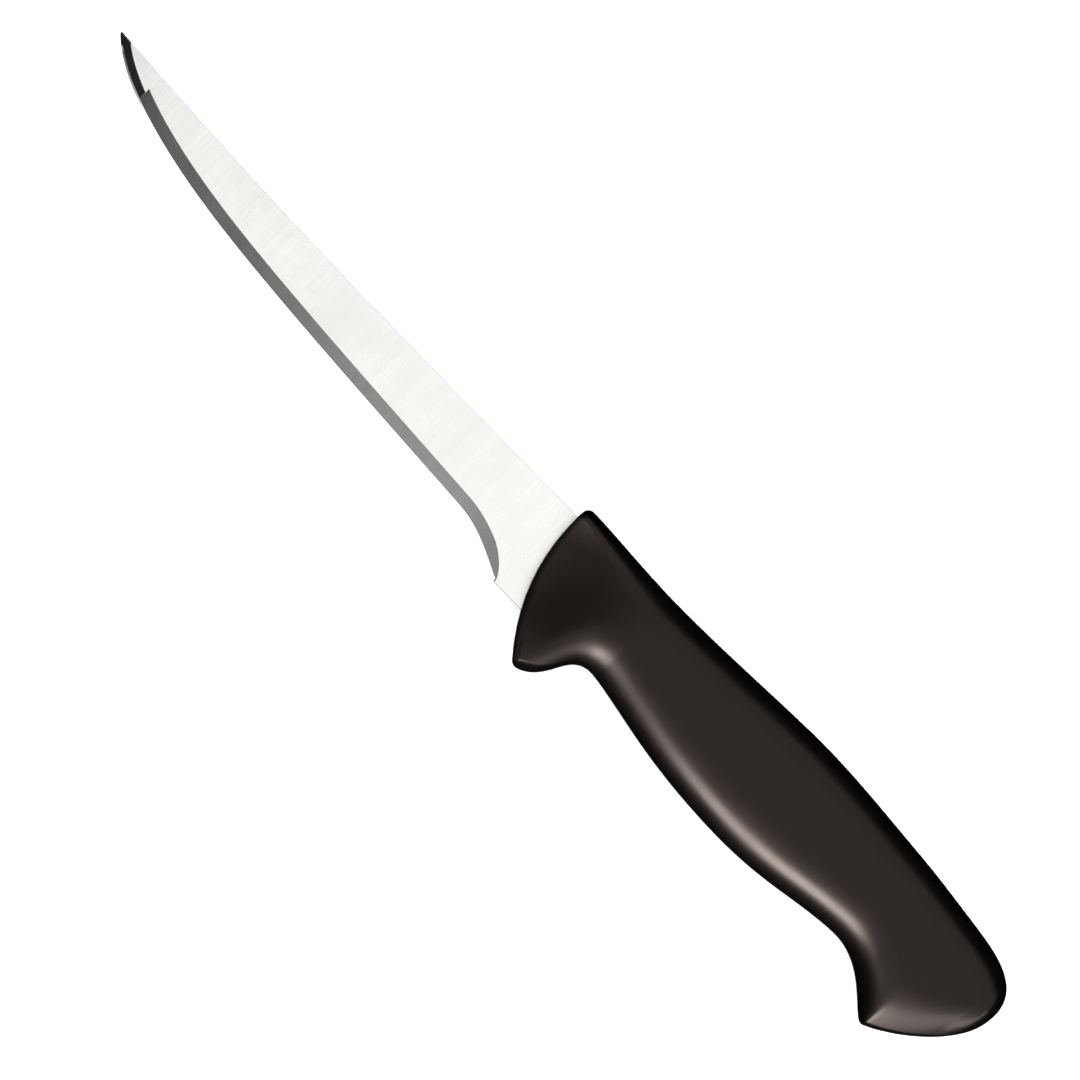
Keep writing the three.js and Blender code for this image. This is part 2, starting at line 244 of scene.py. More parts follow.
# Depths and half thicknesses down one side of the blank, a row for each station: a quarter round at the
# spine, the flat cheek, then the given rows of the lower edge.
def sideColumns(top, half, ease, lower):
    b = bladeShape
    turn = np.linspace(0, np.pi / 2, b["roundSteps"])
    ease = ease[:, None]
    roundY = top[:, None] + ease * (1 - np.cos(turn))
    roundZ = half[:, None] - ease * (1 - np.sin(turn))
    share = np.linspace(0, 1, b["cheekSteps"] + 1)[None, 1:-1]
    cheekY = mix(roundY[:, -1:], lower[:, :1, 0], share)
    cheekZ = np.broadcast_to(half[:, None], cheekY.shape)
    y = np.concatenate([roundY, cheekY, lower[:, :, 0]], 1)
    z = np.concatenate([roundZ, cheekZ, lower[:, :, 1]], 1)
    return y, z


# The ground edge at each station: the plunge's wall, straight on to the honed band, and on to the edge.
# Its width runs out at the heel as a quarter circle and steps down near the point, and it fits below the
# spine. The bevel keeps its slope into the plunge, so the wall there is as high as the bevel is cut short.
def sharpSide(place, slope):
    b = bladeShape
    x, bottom = place[:, :1], place[:, 1:]
    top = spineAt(x)
    plunge = clamp01((x - b["heelForward"]) / b["plunge"])
    share = np.sqrt(1 - (1 - plunge) ** 2)
    stepX = b["length"] - b["tipBevelLength"] - b["bevelStep"]
    whole = mix(b["bevel"], b["tipBevel"], clamp01((x - stepX) / b["bevelStep"]))
    width = whole * share
    honed = np.minimum(b["honed"], width / 2)
    acrossY = np.hypot(1, slope)[:, None]
    fit = np.minimum(1, (bottom - top - 2 * b["ease"]) / (width * acrossY))
    honedHalf = b["honedThickness"] / 2
    cheekHalf = mix(honedHalf, stockHalf, fit)
    bevelHalf = mix(honedHalf, cheekHalf, (width - honed) / (whole - honed))
    bevelShare = np.linspace(b["plungeWall"], 1, b["bevelSteps"])[None, :]
    honedShare = np.linspace(0, 1, b["honedSteps"] + 1)[None, 1:]
    distance = np.concatenate([width, mix(width, honed, bevelShare), honed * (1 - honedShare)], 1)
    bevelZ = mix(bevelHalf, honedHalf, bevelShare)
    honedZ = np.broadcast_to(mix(honedHalf, b["edgeThickness"] / 2, honedShare), (len(x), b["honedSteps"]))
    lowerZ = np.concatenate([cheekHalf, bevelZ, honedZ], 1)
    lower = np.stack([bottom - distance * acrossY * fit, lowerZ], -1)
    return sideColumns(top[:, 0], cheekHalf[:, 0], np.minimum(b["ease"], cheekHalf[:, 0] / 2), lower)


# The unsharpened blank at each station: flat sides with all four corners rounded by quarter circles.
def bluntSide(top, bottom, half):
    b = bladeShape
    ease = np.full(len(top), b["ease"])
    turn = np.linspace(0, np.pi / 2, b["bevelSteps"] + b["honedSteps"] + 1)[None, :]
    lowerY = bottom[:, None] - ease[:, None] * (1 - np.sin(turn))
    lowerZ = half - ease[:, None] * (1 - np.cos(turn))
    return sideColumns(top, np.full(len(top), half), ease, np.stack([lowerY, lowerZ], -1))


# Seat, sloping shoulder and tang from front to back, grown on every face by a clearance; the tang's end
# corners are quarter circles.
def tangRings(frontX, grow):
    b = bladeShape
    seatTop, seatBottom = b["spineSetDown"] - grow, b["spineSetDown"] + b["heelDepth"] + grow
    middle = b["spineSetDown"] + b["tangSetDown"] + b["tangDepth"] / 2
    reach = b["tangDepth"] / 2 + grow
    rootX = -b["seat"] - b["shoulder"] - grow
    endX = -handleShape["length"] + b["tangEndCover"] - grow
    turn = np.linspace(0, np.pi / 2, b["roundSteps"])
    cornerX = endX + b["tangCorner"] * (1 - np.sin(turn))
    cornerReach = reach - b["tangCorner"] * (1 - np.cos(turn))
    x = np.concatenate([[frontX, -b["seat"] - grow, rootX], cornerX])
    top = np.concatenate([[seatTop, seatTop, middle - reach], middle - cornerReach])
    bottom = np.concatenate([[seatBottom, seatBottom, middle + reach], middle + cornerReach])
    y, z = bluntSide(top, bottom, stockHalf + grow)
    return np.stack([np.broadcast_to(x[:, None], y.shape), y, z], -1)


# Round pegs across the knife at the tang's lock holes: circles at both ends, carried along z.
def lockPegs(radius):
    b = bladeShape
    sides = b["pegSides"]
    middle = b["spineSetDown"] + b["tangSetDown"] + b["tangDepth"] / 2
    rootX = -b["seat"] - b["shoulder"]
    endX = -handleShape["length"] + b["tangEndCover"]
    pitch = (rootX - endX) / b["lockHoles"]
    turn = np.linspace(0, 2 * np.pi, sides, endpoint=False)
    circle = np.stack([np.cos(turn), np.sin(turn)], -1) * radius
    i = np.arange(sides)
    walls = np.stack([i, (i + 1) % sides, (i + 1) % sides + sides, i + sides], -1).tolist()
    caps = [i[::-1].tolist(), (i + sides).tolist()]
    pegs = []
    for n in range(b["lockHoles"]):
        centre = [rootX - pitch * (n + 0.5), middle]
        low = np.column_stack([circle + centre, np.full(sides, -gripHalf / 2)])
        pegs.append(meshPiece("peg", np.concatenate([low, low * [1, 1, -1]]), walls + caps))
    return pegs


# The blade: sharpened rings from tip to heel, then seat and tang. Its grind map holds the way along the
# edge (u) and the distance from the edge (v), in metres, for the grinding lines.
def makeBlade():
    b = bladeShape
    place, slope = edgeLine()
    y, z = sharpSide(place, slope)
    sharp = np.stack([np.broadcast_to(place[:, :1], y.shape), y, z], -1)[::-1]
    rings = mirrored(np.concatenate([sharp, tangRings(b["heelForward"], 0.0)]))
    count, around = rings.shape[:2]
    blade = meshPiece("steel_blade", rings, skinFaces(count, around))
    edge = rings[:, around // 2 - 1, :2]
    run = np.concatenate([[0], np.cumsum(np.hypot(*np.diff(edge, axis=0).T))])
    u = np.broadcast_to(run[:, None], rings.shape[:2])
    v = edge[:, 1:] - rings[:, :, 1]
    grind = np.stack([u, v], -1).reshape(-1, 2) * mm
    corner = np.zeros(len(blade.data.loops), np.int32)
    blade.data.loops.foreach_get("vertex_index", corner)
    blade.data.uv_layers.new(name="grind").data.foreach_set("uv", grind[corner].ravel())
    # Finish of each strip of the sharpened part: spine and cheek, ground band, honed band.
    cheekStrips = around // 2 - 1 - b["bevelSteps"] - b["honedSteps"]
    half = np.repeat([0, 1, 2], [cheekStrips, b["bevelSteps"], b["honedSteps"]])
    strip = np.concatenate([half, [2], half[::-1], [0]])
    finish = np.zeros(len(blade.data.polygons), np.int32)
    finish[:(len(place) - 1) * around] = np.tile(strip, len(place) - 1)
    blade.data.polygons.foreach_set("material_index", finish)
    for material in (satinSteel(), groundSteel(), honedSteel()):
        blade.data.materials.append(material)
    cutAway(blade, *lockPegs(b["lockHoleRadius"]))
    blade.data.set_sharp_from_angle(angle=math.radians(b["sharpAngle"]))
    return blade


# Handle

handleShape = {
    "length": 127.7,
    # Knots of the back and, pair by pair below them, of the underside: x, y, dip of the line in degrees,
    # and the reach of the curves before and after as a share of the distance between knots. The first pair
    # is the front face's top corner and the guard's tip, where None stands for a dip square to the face.
    "back": (
        (-1.3, -0.8, None, 0.35, 0.05), (-25.1, 0.0, 0, 0.35, 0.35), (-62.3, -1.4, -2, 0.35, 0.35),
        (-93.8, 0.0, 4, 0.35, 0.35), (-112.5, 2.0, 7, 0.35, 0.43), (-127.7, 11.8, 90, 0.42, 0.35),
    ),
    "under": (
        (-13.2, 31.4, None, 0.35, 0.46), (-25.1, 21.6, 7, 0.49, 0.25), (-62.3, 26.2, 1, 0.51, 0.47),
        (-93.8, 23.0, -3, 0.31, 0.5), (-110.8, 31.6, -19, 0.12, 0.12), (-127.7, 11.8, -90, 0.39, 0.35),
    ),
    "backRadii": (2.4, 7.2, 7.0, 7.0, 6.8, 8.0),  # depth of the roundings at each knot
    "underRadii": (1.5, 12.3, 11.5, 10.0, 12.5, 11.0),
    "guardGrowth": 0.7,  # power with which the underside's rounding deepens from the guard's tip
    "backPower": 2.3,  # 2 would make the roundings ellipses, and more makes them fuller
    "underPowers": (2.3, 2.25, 2.25, 2.25, 1.7, 1.7),
    # Under the guard and the beak the rounding is a flank that ends in a rim: the shares of those
    # stretches of the handle where it fades out and in, and how steeply it falls at the rim.
    "guardFade": (0.45, 1.0),
    "beakFade": (0.5, 1.0),
    "guardSlope": 0.85,
    "beakSlope": 0.68,
    "flankPower": 1.7,  # 1 would make the flanks flat
    "rims": (2.4, 1.3),  # depth of the rounding over the rim, at the guard's tip and elsewhere
    "rimFade": 0.4,  # share of the guard where the first becomes the second
    "rimPower": 2.1,
    "bow": 3.2,  # bulge of the front face
    "frontEdge": 1.7,  # rounding of the front face's edge, seen from the side
    "frontEdgeDepth": 0.5,  # and across the knife
    "frontWidth": 12.8,  # at the middle of the dish in the bolster
    "bolsterSetback": 21.0,  # foot of the slanted line where the handle starts to narrow forwards
    "bolsterSlant": 9.0,
    "dishDepth": 13.5,
    "dishReach": 12.5,
    "buttRound": 3.6,  # stretch where the width closes at the butt
    "buttFlank": 14.0,  # depth below the butt's point over which it closes less and less
    "roundingLimit": 0.998,  # most of a ring's depth that its two roundings take together
    "gap": 0.03,  # the plastic shrinks on to the tang
    "seam": 0.05,  # height of the mould's parting line
    "seamWidth": 0.16,
    "seamFade": 6.0,  # rings less deep than this have a lower parting line
    "sharpAngle": 40.0,  # in degrees
    "steps": (84, 64, 52, 76, 90),
    "frontSteps": 10,
    "roundSteps": 34,
    "flatSteps": 10,
}


# A guide line through knots, heading for the butt: cubic curves that leave and arrive at each knot's dip,
# with reaches given as shares of the distance between the knots.
def guideLine(knots, faceDip):
    rows = [(x, y, faceDip if dip is None else dip, before, after) for x, y, dip, before, after in knots]
    x, y, dip, before, after = np.array(rows, float).T
    point = np.stack([x, y], -1)
    heading = np.stack([-np.cos(np.radians(dip)), np.sin(np.radians(dip))], -1)
    span = np.hypot(*np.diff(point, axis=0).T)[:, None]
    leave = point[:-1] + heading[:-1] * span * after[:-1, None]
    arrive = point[1:] - heading[1:] * span * before[1:, None]
    return list(zip(point[:-1], leave, arrive, point[1:]))


# Share of the full width left at a share of the way across a rounding: a superellipse of the given power.
def fullness(across, power):
    return (1 - clamp01(across) ** power) ** (1 / power)


# Half width at a point of the side: even along the grip, closed at the butt, and hollowed to the narrow
# front by a dish that fades up and down from its middle as a flat-topped bell curve.
def halfWidthAt(x, y):
    h = handleShape
    choilDepth = h["under"][1][1]
    gripStart = -h["bolsterSetback"] - h["bolsterSlant"] * (1 - y / choilDepth)
    narrowing = clamp01(1 - x / gripStart)
    dish = np.exp(-(((y - h["dishDepth"]) / h["dishReach"]) ** 4))
    aboveFlank = 1 - ramp(y, h["back"][-1][1], h["back"][-1][1] + h["buttFlank"])
    closing = clamp01((h["buttRound"] - h["length"] - x) / h["buttRound"]) * aboveFlank
    half = mix(gripHalf, h["frontWidth"] / 2, smooth(narrowing) * dish)
    return half * fullness(closing, h["backPower"])


# Stations along the handle: points of the back and of the underside, the roundings' depths and powers, the
# flanks with their rims, the front's bulge, and how far the ring is drawn in and moved forwards round the
# edge of the front face. That edge is an arc that turns as far as the slope at which the bulge starts, and
# the bulge fades out at the choil.
def handleStations():
    h = handleShape
    guardStretch, beakStretch, buttStretch = 0, 3, 4
    corner, guard = np.array(h["back"][0][:2]), np.array(h["under"][0][:2])
    face = guard - corner
    faceDip = math.degrees(math.atan2(face[0], face[1]))
    back, under = guideLine(h["back"], faceDip), guideLine(h["under"], faceDip)
    wholeTurn = np.pi / 2 - math.atan(4 * h["bow"] / np.hypot(*face))
    turn = np.linspace(wholeTurn, 0, h["frontSteps"], endpoint=False)
    inset = h["frontEdge"] * (1 - np.cos(turn))
    ones = np.ones((len(turn), 1))
    tops, bottoms, bows = [ones * corner], [ones * guard], [ones[:, 0] * h["bow"]]
    backRadii, underRadii = [h["backRadii"][0] - inset], [h["underRadii"][0] - inset]
    underPowers, rims = [ones[:, 0] * h["underPowers"][0]], [ones[:, 0] * h["rims"][0]]
    flanks, flankSlopes = [ones[:, 0]], [ones[:, 0] * h["guardSlope"]]
    for k, count in enumerate(h["steps"]):
        t = np.arange(count) / count
        if k == buttStretch:
            t = np.sin(t * np.pi / 2)  # closer together towards the butt
        tops.append(cubic(back[k], t)[0])
        bottoms.append(cubic(under[k], t)[0])
        backRadii.append(mix(h["backRadii"][k], h["backRadii"][k + 1], smooth(t)))
        growth = t ** h["guardGrowth"] if k == guardStretch else smooth(t)
        underRadii.append(mix(h["underRadii"][k], h["underRadii"][k + 1], growth))
        underPowers.append(mix(h["underPowers"][k], h["underPowers"][k + 1], smooth(t)))
        fades = {
            guardStretch: 1 - ramp(t, *h["guardFade"]),
            beakStretch: ramp(t, *h["beakFade"]),
            buttStretch: np.ones(count),
        }
        flanks.append(fades.get(k, np.zeros(count)))
        flankSlopes.append(np.full(count, h["guardSlope"] if k == guardStretch else h["beakSlope"]))
        rims.append(mix(*h["rims"], ramp(t, 0, h["rimFade"]) if k == guardStretch else np.ones(count)))
        bows.append(h["bow"] * (1 - t) ** 2 if k == guardStretch else np.zeros(count))
    rest = np.zeros(sum(h["steps"]))
    return {
        "top": np.concatenate(tops), "bottom": np.concatenate(bottoms), "bow": np.concatenate(bows),
        "backRadius": np.concatenate(backRadii), "underRadius": np.concatenate(underRadii),
        "underPower": np.concatenate(underPowers),
        "flank": np.concatenate(flanks), "flankSlope": np.concatenate(flankSlopes),
        "rim": np.concatenate(rims),
        "inset": np.concatenate([inset, rest]),
        "lead": np.concatenate([h["frontEdge"] * np.sin(turn), rest]),
    }


# One side of every ring, from the back to the underside: a superellipse quarter, a flat stretch and
# another quarter, along the line between the two guide points, bulged forwards as a parabola. Under the
# guard and the beak that last quarter is a flank instead, which falls with a power of the way to its rim
# and is rounded over there as a superellipse. A low ridge, a bell curve across the knife, stands on the
# mould's parting line, where the two sides meet.
def handleSide(s):
    h = handleShape
    down = s["bottom"] - s["top"]
    whole = np.hypot(down[:, 0], down[:, 1])[:, None]
    down = down / whole
    forward = np.stack([down[:, 1], -down[:, 0]], -1)
    inset, lead = s["inset"][:, None], s["lead"][:, None]
    start = s["top"] + down * inset + forward * lead
    length = whole - 2 * inset
    shrink = np.minimum(1, h["roundingLimit"] * length / (s["backRadius"] + s["underRadius"])[:, None])
    backRadius = s["backRadius"][:, None] * shrink
    underRadius = s["underRadius"][:, None] * shrink
    turn = np.linspace(0, np.pi / 2, h["roundSteps"] + 1)[None, :]
    underPower = s["underPower"][:, None]
    flat = np.linspace(0, 1, h["flatSteps"] + 1)[None, 1:-1]
    d = np.concatenate([
        backRadius * (1 - np.cos(turn) ** (2 / h["backPower"])),
        backRadius + (length - backRadius - underRadius) * flat,
        length - underRadius * (1 - np.cos(turn[:, ::-1]) ** (2 / underPower)),
    ], 1)
    share = d / length
    bulge = s["bow"][:, None] * 4 * share * (1 - share)
    x = start[:, :1] + down[:, :1] * d + forward[:, :1] * bulge
    y = start[:, 1:] + down[:, 1:] * d + forward[:, 1:] * bulge
    byBack = fullness(1 - d / backRadius, h["backPower"])
    half = np.maximum(halfWidthAt(x, y) - inset * h["frontEdgeDepth"] / h["frontEdge"], 0)
    under = clamp01(1 - (length - d) / underRadius)
    rimFall = s["flankSlope"] * s["underRadius"] / h["flankPower"]
    fall = rimFall[:, None] * under ** h["flankPower"]
    overRim = fullness(1 - (length - d) / s["rim"][:, None], h["rimPower"])
    flank = np.maximum(half - fall, 0) * overRim
    z = mix(half * fullness(under, underPower), flank, s["flank"][:, None]) * byBack
    ridge = h["seam"] * np.exp(-((z / h["seamWidth"]) ** 2)) * clamp01(length / h["seamFade"])
    outwards = np.where(share < 0.5, -1.0, 1.0) * ridge
    return np.stack([x + down[:, :1] * outwards, y + down[:, 1:] * outwards, z], -1)


# The handle: rings from the front face to the butt, less the tang's cavity, with plugs left standing in
# the lock holes.
def makeHandle():
    h = handleShape
    b = bladeShape
    rings = mirrored(handleSide(handleStations()))
    handle = meshPiece("moulded_handle", rings, skinFaces(*rings.shape[:2]))
    weldSeam(handle)
    handle.data.materials.append(pebbledPlastic())
    slotRings = mirrored(tangRings(b["length"], h["gap"]))
    cavity = meshPiece("cavity", slotRings, skinFaces(*slotRings.shape[:2]))
    cutAway(cavity, *lockPegs(b["lockHoleRadius"] - h["gap"]))
    cutAway(handle, cavity)
    handle.data.polygons.foreach_set("material_index", np.zeros(len(handle.data.polygons), np.int32))
    handle.data.set_sharp_from_angle(angle=math.radians(h["sharpAngle"]))
    return handle


# Finishes

def addNode(tree, kind, **values):
    node = tree.nodes.new(kind)
    for name, value in values.items():
        if name in node.inputs:
            node.inputs[name].default_value = value
        else:
            setattr(node, name, value)
    return node


def addGroup(tree, group, **values):
    node = tree.nodes.new("ShaderNodeGroup")
    node.node_tree = group
    for name, value in values.items():
        node.inputs[name].default_value = value
    return node


def newMaterial(name):
    material = bpy.data.materials.new(name)
    material.use_nodes = True
    tree = material.node_tree
    return material, tree, tree.nodes["Principled BSDF"]


def groupSockets(tree, inputs, outputs):
    for name, kind, value in inputs:
        socket = tree.interface.new_socket(name, in_out="INPUT", socket_type=kind)
        if value is not None:
            socket.default_value = value
    for name, kind in outputs:
        tree.interface.new_socket(name, in_out="OUTPUT", socket_type=kind)
    return tree.nodes.new("NodeGroupInput"), tree.nodes.new("NodeGroupOutput")


# Fine lines left by a grinding belt: noise drawn out along the second coordinate.
def grindLines():
    tree = bpy.data.node_groups.new("grindLines", "ShaderNodeTree")
    source, sink = groupSockets(
        tree,
        [("Vector", "NodeSocketVector", None), ("Across", "NodeSocketFloat", 3000.0),
         ("Along", "NodeSocketFloat", 30.0)],
        [("Height", "NodeSocketFloat"), ("Broad", "NodeSocketFloat")],
    )
    scale = addNode(tree, "ShaderNodeCombineXYZ")
    stretched = addNode(tree, "ShaderNodeVectorMath", operation="MULTIPLY")
    fine = addNode(tree, "ShaderNodeTexNoise", Scale=1.0, Detail=3.0, Roughness=0.6)
    broad = addNode(tree, "ShaderNodeTexNoise", Scale=0.13, Detail=2.0, Roughness=0.5)
    link = tree.links.new
    link(source.outputs["Across"], scale.inputs["X"])
    link(source.outputs["Along"], scale.inputs["Y"])
    link(source.outputs["Along"], scale.inputs["Z"])
    link(source.outputs["Vector"], stretched.inputs[0])
    link(scale.outputs["Vector"], stretched.inputs[1])
    link(stretched.outputs["Vector"], fine.inputs["Vector"])
    link(stretched.outputs["Vector"], broad.inputs["Vector"])
    link(fine.outputs["Fac"], sink.inputs["Height"])
    link(broad.outputs["Fac"], sink.inputs["Broad"])
    return tree


# Faint cloudy patches where the piece has been held and wiped, from 0 to 1.
def handlingMarks():
    tree = bpy.data.node_groups.new("handlingMarks", "ShaderNodeTree")
    source, sink = groupSockets(
        tree,
        [("Scale", "NodeSocketFloat", 60.0)],
        [("Marks", "NodeSocketFloat")],
    )
    place = addNode(tree, "ShaderNodeTexCoord")
    cloud = addNode(tree, "ShaderNodeTexNoise", Detail=4.0, Roughness=0.62, Distortion=0.4)
    spread = addNode(tree, "ShaderNodeMapRange", interpolation_type="SMOOTHSTEP")
    spread.inputs["From Min"].default_value = 0.35
    spread.inputs["From Max"].default_value = 0.68
    tree.links.new(place.outputs["Object"], cloud.inputs["Vector"])
    tree.links.new(source.outputs["Scale"], cloud.inputs["Scale"])
    tree.links.new(cloud.outputs["Fac"], spread.inputs["Value"])
    tree.links.new(spread.outputs["Result"], sink.inputs["Marks"])
    return tree


grindLinesGroup = grindLines()
handlingMarksGroup = handlingMarks()


# Steel with grinding lines: the lines make the bump and part of the roughness, the marks the rest.
def linedSteel(name, look):
    material, tree, shader = newMaterial(name)
    link = tree.links.new
    if look["map"] == "grind":
        place = addNode(tree, "ShaderNodeUVMap", uv_map="grind").outputs["UV"]
    else:
        place = addNode(tree, "ShaderNodeTexCoord").outputs["Object"]
    lines = addGroup(tree, grindLinesGroup, Across=look["across"], Along=look["along"])
    marks = addGroup(tree, handlingMarksGroup, Scale=look["marks"])
    link(place, lines.inputs["Vector"])
    tint = addNode(tree, "ShaderNodeMix", data_type="RGBA")
    tint.inputs["A"].default_value = (*look["dark"], 1)
    tint.inputs["B"].default_value = (*look["light"], 1)
    link(lines.outputs["Broad"], tint.inputs["Factor"])
    link(tint.outputs["Result"], shader.inputs["Base Color"])
    gloss = addNode(tree, "ShaderNodeMapRange")
    gloss.inputs["To Min"].default_value, gloss.inputs["To Max"].default_value = look["roughness"]
    smudge = addNode(tree, "ShaderNodeMath", operation="MULTIPLY_ADD")
    smudge.inputs[1].default_value = look["smudge"]
    link(lines.outputs["Height"], gloss.inputs["Value"])
    link(marks.outputs["Marks"], smudge.inputs[0])
    link(gloss.outputs["Result"], smudge.inputs[2])
    link(smudge.outputs["Value"], shader.inputs["Roughness"])
    bump = addNode(tree, "ShaderNodeBump", Strength=look["bump"], Distance=look["bumpDepth"])
    link(lines.outputs["Height"], bump.inputs["Height"])
    link(bump.outputs["Normal"], shader.inputs["Normal"])
    shader.inputs["Metallic"].default_value = 1.0
    return material


def satinSteel():
    return linedSteel("satinSteel", {
        "map": "object", "across": 3200.0, "along": 28.0, "marks": 55.0,
        "dark": (0.77, 0.767, 0.76), "light": (0.87, 0.867, 0.86),
        "roughness": (0.20, 0.30), "smudge": 0.05, "bump": 0.12, "bumpDepth": 0.00001,
    })


def groundSteel():
    return linedSteel("groundSteel", {
        "map": "grind", "across": 2600.0, "along": 60.0, "marks": 90.0,
        "dark": (0.66, 0.655, 0.65), "light": (0.78, 0.775, 0.765),
        "roughness": (0.14, 0.22), "smudge": 0.03, "bump": 0.16, "bumpDepth": 0.00001,
    })


def honedSteel():
    return linedSteel("honedSteel", {
        "map": "grind", "across": 5200.0, "along": 200.0, "marks": 90.0,
        "dark": (0.78, 0.775, 0.765), "light": (0.84, 0.835, 0.825),
        "roughness": (0.10, 0.18), "smudge": 0.02, "bump": 0.1, "bumpDepth": 0.00001,
    })


# Moulded plastic with a fine spark-eroded grain, slightly polished where it has been held.
def pebbledPlastic():
    look = {
        "dark": (0.0005, 0.0003, 0.0002), "light": (0.0011, 0.0007, 0.0006),
        "mottle": 420.0, "pebble": 2100.0, "grit": 5200.0, "gritShare": 0.35, "marks": 45.0,
        "roughness": (0.33, 0.40), "polish": -0.04, "bump": 0.14, "bumpDepth": 0.00004,
        "ior": 1.38, "gloss": 0.39, "sheen": (1.0, 0.83, 0.76),
    }
    material, tree, shader = newMaterial("pebbledPlastic")
    link = tree.links.new
    place = addNode(tree, "ShaderNodeTexCoord").outputs["Object"]
    mottle = addNode(tree, "ShaderNodeTexNoise", Scale=look["mottle"], Detail=3.0, Roughness=0.6)
    pebble = addNode(tree, "ShaderNodeTexVoronoi", Scale=look["pebble"], feature="SMOOTH_F1")
    grit = addNode(tree, "ShaderNodeTexNoise", Scale=look["grit"], Detail=2.0, Roughness=0.5)
    for texture in (mottle, pebble, grit):
        link(place, texture.inputs["Vector"])
    tint = addNode(tree, "ShaderNodeMix", data_type="RGBA")
    tint.inputs["A"].default_value = (*look["dark"], 1)
    tint.inputs["B"].default_value = (*look["light"], 1)
    link(mottle.outputs["Fac"], tint.inputs["Factor"])
    link(tint.outputs["Result"], shader.inputs["Base Color"])
    marks = addGroup(tree, handlingMarksGroup, Scale=look["marks"])
    gloss = addNode(tree, "ShaderNodeMapRange")
    gloss.inputs["To Min"].default_value, gloss.inputs["To Max"].default_value = look["roughness"]
    polish = addNode(tree, "ShaderNodeMath", operation="MULTIPLY_ADD")
    polish.inputs[1].default_value = look["polish"]
    link(mottle.outputs["Fac"], gloss.inputs["Value"])
    link(marks.outputs["Marks"], polish.inputs[0])
    link(gloss.outputs["Result"], polish.inputs[2])
    link(polish.outputs["Value"], shader.inputs["Roughness"])
    grain = addNode(tree, "ShaderNodeMath", operation="MULTIPLY_ADD")
    grain.inputs[1].default_value = look["gritShare"]
    link(grit.outputs["Fac"], grain.inputs[0])
    link(pebble.outputs["Distance"], grain.inputs[2])
    bump = addNode(tree, "ShaderNodeBump", Strength=look["bump"], Distance=look["bumpDepth"])
    link(grain.outputs["Value"], bump.inputs["Height"])
    link(bump.outputs["Normal"], shader.inputs["Normal"])
    shader.inputs["IOR"].default_value = look["ior"]
    shader.inputs["Specular IOR Level"].default_value = look["gloss"]
    shader.inputs["Specular Tint"].default_value = (*look["sheen"], 1)
    return material


# Camera

cameraSetup = {
    "lens": 200.0,
    "sensor": 36.0,
    "frameWidth": 212.76,  # millimetres across the picture at the blade's height
    "centre": (1.760, 10.500),  # middle of the picture in the knife's lines, in millimetres
    "up": (0.7169, -0.6972, 0.0),  # the knife lies along the picture's diagonal
    "clipEnd": 20.0,
}


# The camera looks straight down. Its distance makes the frame as wide as it should be at the blade.
def makeCamera():
    c = cameraSetup
    data = bpy.data.cameras.new("camera")
    data.lens = c["lens"]
    data.sensor_width = c["sensor"]
    data.clip_end = c["clipEnd"]
    camera = bpy.data.objects.new("camera", data)
    bpy.context.scene.collection.objects.link(camera)
    up = Vector(c["up"]).normalized()
    back = Vector((0, 0, 1))
    right = up.cross(back)
    distance = c["frameWidth"] * mm * c["lens"] / c["sensor"]
    place = Vector(knifeOrigin) + Vector((c["centre"][0] * mm, c["centre"][1] * mm, distance))
    turned = Matrix((right, up, back)).transposed()
    camera.matrix_world = Matrix.Translation(place) @ turned.to_4x4()
    bpy.context.scene.camera = camera


# Floor and lights

studio = {
    # Level lights: span in x, span in y and height, in metres, and radiance. The softbox lies over the
    # flat sides, and the cards beyond it give the ground band its greys from heel to point.
    "softbox": ((-1.80, 0.34), (-2.0, 0.30), 1.0, 1.25),
    "cards": {
        "gripCard": ((-0.40, -0.04), (0.144, 0.38), 0.41, 2.0),
        "bandCard": ((-0.04, 0.10), (0.144, 0.38), 0.41, 0.37),
        "frontCard": ((0.10, 0.24), (0.144, 0.26), 0.41, 0.15),
        "honedCard": ((-0.20, 0.93), (1.45, 2.40), 1.0, 1.8),
        "pointCard": ((0.62, 1.40), (0.30, 1.40), 1.0, 0.008),
    },
    # Low lights on the edge's side: bearing in degrees from that side towards the tip, rise in degrees
    # above the floor, size and radiance. The strip makes the line along the belly, and the others carry it
    # round to the butt.
    "lowDistance": 1.0,
    "lowLights": {
        "strip": (-13.8, 24.0, (0.41, 0.42), 31.0),
        "sideLight": (-35.0, 22.0, (0.56, 0.50), 7.5),
        "buttLight": (-68.0, 22.0, (0.64, 0.50), 4.0),
    },
    # Dim screens all round, for the low reflections: distance, heights of both edges and radiance.
    "screens": (1.6, (0.30, 0.95), 0.5),
    "warm": (1.0, 0.985, 0.97),
    "worldRadiance": 2.2,
    "floorSize": 8.0,
    "floorDrop": 0.0002,
    "floorColour": (0.95, 0.95, 0.95),
    "floorRoughness": 0.9,
}


def paleFloor():
    material, _, shader = newMaterial("paleFloor")
    shader.inputs["Base Color"].default_value = (*studio["floorColour"], 1)
    shader.inputs["Roughness"].default_value = studio["floorRoughness"]
    shader.inputs["Specular IOR Level"].default_value = 0.0
    return material


def makeFloor():
    half, z = studio["floorSize"] / 2, -studio["floorDrop"]
    mesh = bpy.data.meshes.new("floor")
    corners = [(-half, -half, z), (half, -half, z), (half, half, z), (-half, half, z)]
    mesh.from_pydata(corners, [], [(0, 1, 2, 3)])
    floor = bpy.data.objects.new("floor", mesh)
    bpy.context.scene.collection.objects.link(floor)
    mesh.materials.append(paleFloor())
    floor.visible_glossy = False
    floor.visible_diffuse = False


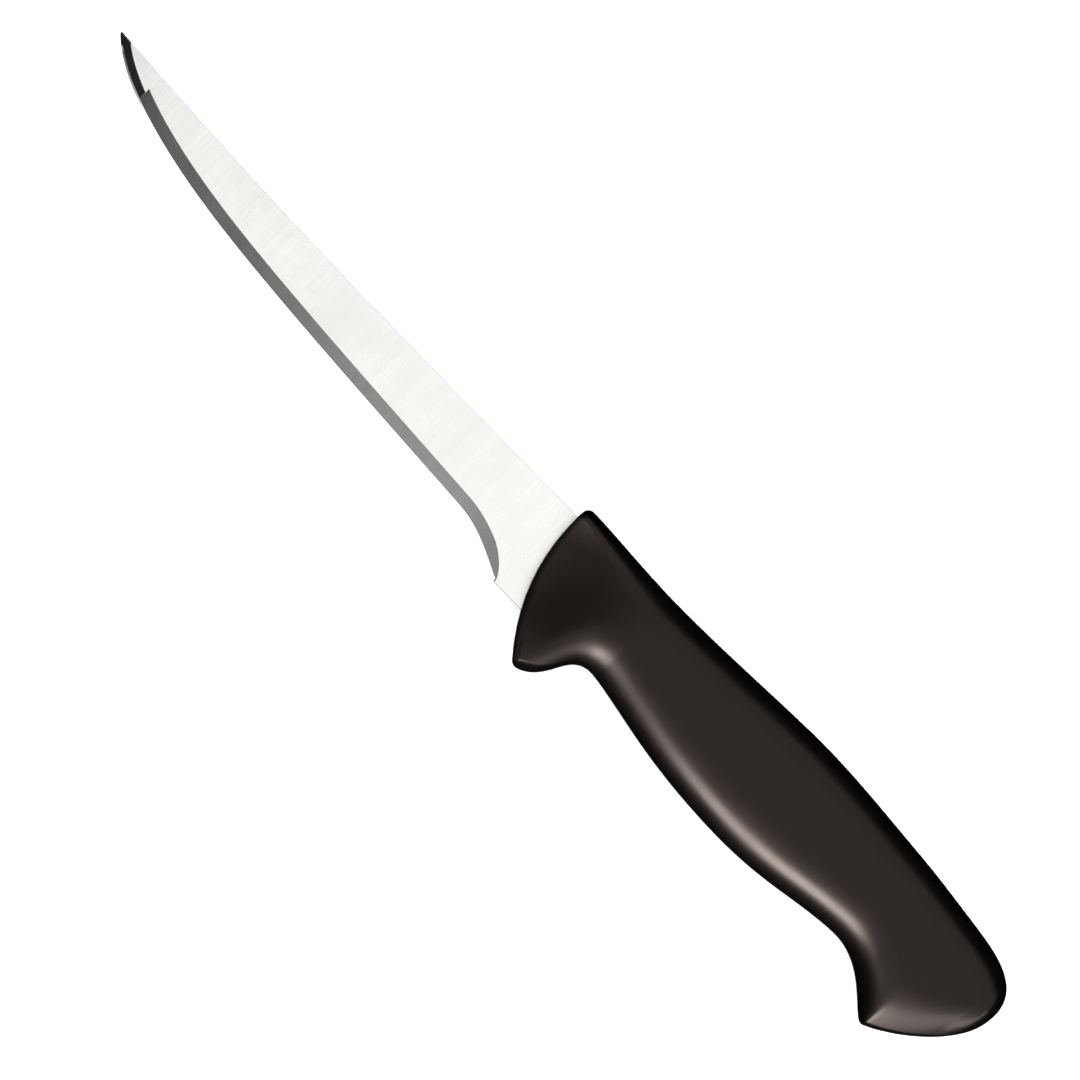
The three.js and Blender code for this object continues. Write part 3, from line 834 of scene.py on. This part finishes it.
# A rectangular light of an even radiance, whose power is radiance times pi times area. It faces straight
# down, or the target where one is given.
def addLight(name, place, size, radiance, target=None):
    data = bpy.data.lights.new(name, "AREA")
    data.shape = "RECTANGLE"
    data.size, data.size_y = size
    data.energy = radiance * math.pi * size[0] * size[1]
    data.color = studio["warm"]
    light = bpy.data.objects.new(name, data)
    bpy.context.scene.collection.objects.link(light)
    light.location = place
    if target is not None:
        away = Vector(place) - Vector(target)
        light.matrix_world = Matrix.Translation(place) @ away.to_track_quat("Z", "Y").to_matrix().to_4x4()
    light.visible_camera = False
    return light


def addLevelLight(name, spanX, spanY, height, radiance):
    middle = (sum(spanX) / 2, sum(spanY) / 2, height)
    return addLight(name, middle, (spanX[1] - spanX[0], spanY[1] - spanY[0]), radiance)


# The low lights fall on the handle alone, because the flat blade would mirror them whole in low views.
def makeLights(handle):
    s = studio
    handleOnly = bpy.data.collections.new("handleOnly")
    handleOnly.objects.link(handle)
    addLevelLight("softbox", *s["softbox"])
    for name, card in s["cards"].items():
        addLevelLight(name, *card).visible_diffuse = False
    for name, (bearing, rise, size, radiance) in s["lowLights"].items():
        turn, lift = math.radians(bearing), math.radians(rise)
        out = Vector((math.sin(turn) * math.cos(lift), math.cos(turn) * math.cos(lift), math.sin(lift)))
        light = addLight(name, out * s["lowDistance"], size, radiance, (0, 0, 0))
        light.visible_diffuse = False
        light.light_linking.receiver_collection = handleOnly
    distance, (low, high), radiance = s["screens"]
    for n, (x, y) in enumerate(((1, 0), (0, 1), (-1, 0), (0, -1))):
        middle = Vector((x * distance, y * distance, (low + high) / 2))
        screen = addLight(f"screen{n}", middle, (2 * distance, high - low), radiance, (0, 0, middle.z))
        screen.visible_diffuse = False
    world = bpy.data.worlds.new("studio")
    world.use_nodes = True
    background = world.node_tree.nodes["Background"]
    background.inputs["Color"].default_value = (1, 1, 1, 1)
    background.inputs["Strength"].default_value = s["worldRadiance"]
    world.cycles_visibility.glossy = False
    bpy.context.scene.world = world
    bpy.context.scene.view_settings.view_transform = "Standard"


# Build

makeCamera()
print("camera set")
blade = makeBlade()
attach(blade, "root")
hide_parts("blade")
print("blade made:", len(blade.data.polygons), "faces")
handle = makeHandle()
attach(handle, "root")
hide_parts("handle")
print("handle made:", len(handle.data.polygons), "faces")
makeFloor()
makeLights(handle)
print("studio lit")
